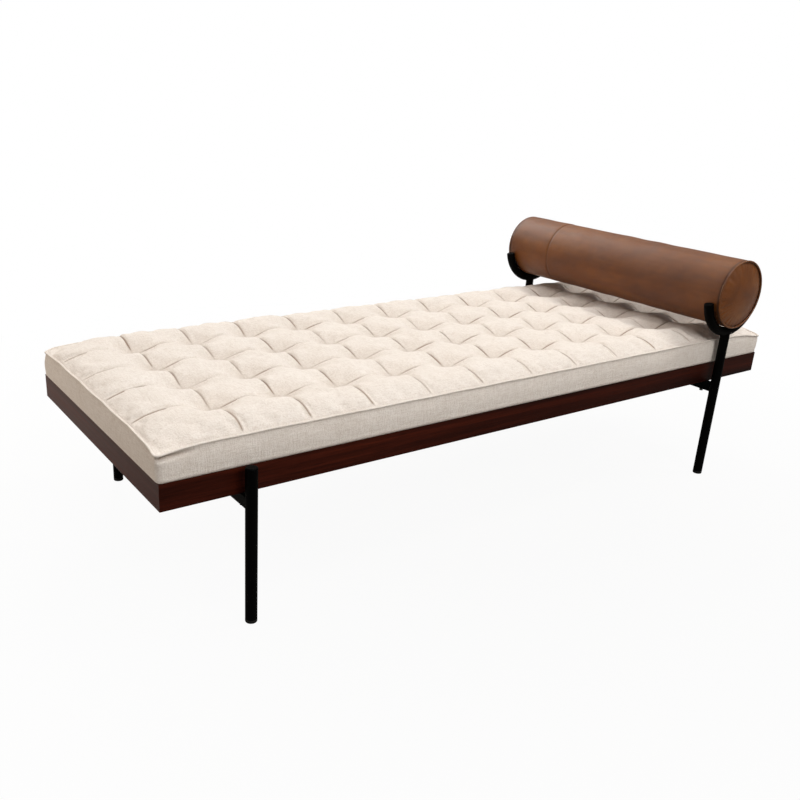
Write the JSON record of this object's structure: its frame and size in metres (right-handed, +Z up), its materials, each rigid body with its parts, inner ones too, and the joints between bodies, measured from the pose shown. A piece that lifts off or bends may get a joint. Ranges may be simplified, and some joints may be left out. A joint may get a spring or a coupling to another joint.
{
  "type": "daybed",
  "caption": "Daybed with a tufted linen mattress on a dark wood frame, round black steel legs, and a leather bolster held in open cradles at the head end.",
  "frame": {"origin": "on the floor under the middle of the daybed", "axes": "+X along the daybed towards the bolster, +Y across it towards the rear, +Z up"},
  "size_m": [1.91, 0.82, 0.6417],
  "materials": {
    "stained_wood": "dark reddish brown stain, satin, fine straight grain along each rail",
    "pale_wood": "raw pale wood, unfinished",
    "plain_steel": "zinc plated",
    "black_steel": "matt black powder coat",
    "black_plastic": "moulded, matt",
    "linen": "oatmeal linen weave",
    "foam": "polyurethane foam",
    "twine": "waxed tufting twine and felt washers",
    "card_tube": "spiral wound tube",
    "brown_leather": "smooth waxed leather, soft sheen"
  },
  "bodies": {
    "frame": {"corner_block_foot_front": "pale_wood", "corner_block_foot_rear": "pale_wood", "corner_block_head_front": "pale_wood", "corner_block_head_rear": "pale_wood", "corner_screws": "plain_steel", "cradle_front": "black_steel", "cradle_rear": "black_steel", "cradle_tip_caps": "black_steel", "foot_crossbeam": "black_steel", "foot_end_rail": "stained_wood", "foot_leg_front": "black_steel", "foot_leg_rear": "black_steel", "frame_bolts": "plain_steel", "frame_inserts": "plain_steel", "frame_washers": "plain_steel", "front_ledger": "pale_wood", "front_side_rail": "stained_wood", "glide_sockets": "black_plastic", "head_crossbeam": "black_steel", "head_end_rail": "stained_wood", "head_post_front": "black_steel", "head_post_rear": "black_steel", "ledger_screws": "plain_steel", "leg_top_caps": "black_steel", "rear_ledger": "pale_wood", "rear_side_rail": "stained_wood", "slat_01": "pale_wood", "slat_02": "pale_wood", "slat_03": "pale_wood", "slat_04": "pale_wood", "slat_05": "pale_wood", "slat_06": "pale_wood", "slat_07": "pale_wood", "slat_08": "pale_wood", "slat_09": "pale_wood", "slat_10": "pale_wood", "slat_11": "pale_wood", "slat_12": "pale_wood", "slat_screws": "plain_steel"},
    "mattress": {"mattress_bottom_panel": "linen", "mattress_core": "foam", "mattress_piping": "linen", "mattress_side_band": "linen", "mattress_top_panel": "linen", "tuft_twines": "twine", "tuft_washers": "twine"},
    "bolster": {"bolster_cap_front": "brown_leather", "bolster_cap_rear": "brown_leather", "bolster_core_tube": "card_tube", "bolster_disc_front": "pale_wood", "bolster_disc_rear": "pale_wood", "bolster_foam": "foam", "bolster_piping_front": "brown_leather", "bolster_piping_rear": "brown_leather", "bolster_sleeve": "brown_leather"},
    "foot_front_glide": {"glide_foot_front": "black_plastic"},
    "foot_rear_glide": {"glide_foot_rear": "black_plastic"},
    "head_front_glide": {"glide_head_front": "black_plastic"},
    "head_rear_glide": {"glide_head_rear": "black_plastic"}
  },
  "joints": [
    {"name": "bolster_lift", "type": "slide", "parent": "frame", "child": "bolster", "axis": [0, 0, 1], "range_m": [0, 0.25]},
    {"name": "mattress_slide", "type": "slide", "parent": "frame", "child": "mattress", "axis": [-1, 0, 0], "range_m": [0, 1.95]},
    {"name": "foot_front_glide_screw", "type": "slide", "parent": "frame", "child": "foot_front_glide", "axis": [0, 0, -1], "range_m": [0, 0.01]},
    {"name": "foot_rear_glide_screw", "type": "slide", "parent": "frame", "child": "foot_rear_glide", "axis": [0, 0, -1], "range_m": [0, 0.01]},
    {"name": "head_front_glide_screw", "type": "slide", "parent": "frame", "child": "head_front_glide", "axis": [0, 0, -1], "range_m": [0, 0.01]},
    {"name": "head_rear_glide_screw", "type": "slide", "parent": "frame", "child": "head_rear_glide", "axis": [0, 0, -1], "range_m": [0, 0.01]}
  ]
}
